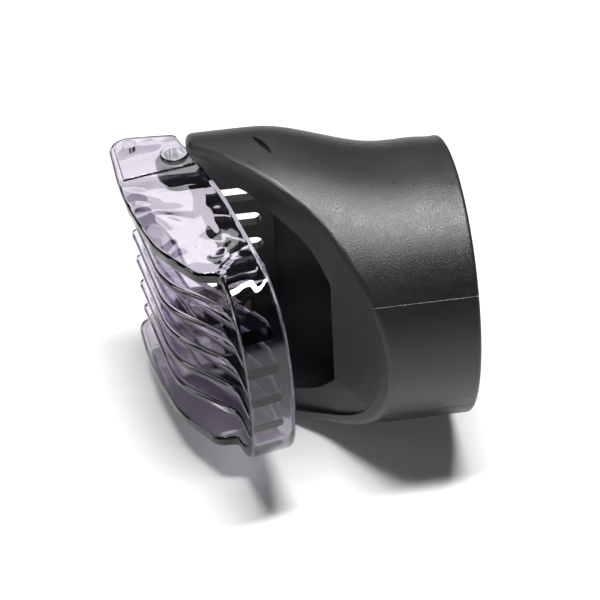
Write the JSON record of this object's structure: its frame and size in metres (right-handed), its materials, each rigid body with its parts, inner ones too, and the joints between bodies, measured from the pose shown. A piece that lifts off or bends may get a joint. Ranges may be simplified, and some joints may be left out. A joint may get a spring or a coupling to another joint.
{
  "type": "clipper guard comb",
  "caption": "Round black collar that slides over a hair clipper's neck, with a slanted window, slotted fingers and a clear hinged guide comb.",
  "frame": {"origin": "centre of the collar's rear opening, on the bore axis at the rear edge", "axes": "+X along the collar's bore, out of the rear opening; -X towards the comb; +Y towards the tooth tips; +Z across the teeth"},
  "size_m": [0.0478, 0.0453, 0.047],
  "materials": {
    "shell_black": "fine matte grain",
    "frame_black": "smooth satin",
    "clear_comb": "clear moulded plastic with a smoky lilac tint",
    "pin_clear": "clear moulded plastic, polished"
  },
  "bodies": {
    "collar": {"collar_shell": "shell_black", "near_panel": "shell_black", "inner_frame": "frame_black", "upper_hinge_pin": "pin_clear", "lower_hinge_pin": "pin_clear"},
    "comb": {"guide_comb": "clear_comb"}
  },
  "joints": [
    {"name": "comb_hinge", "type": "hinge", "parent": "collar", "child": "comb", "pos_m": [-0.0383, 0.01407, 0], "axis": [0, 0, 1], "range_deg": [-20, 10]}
  ]
}
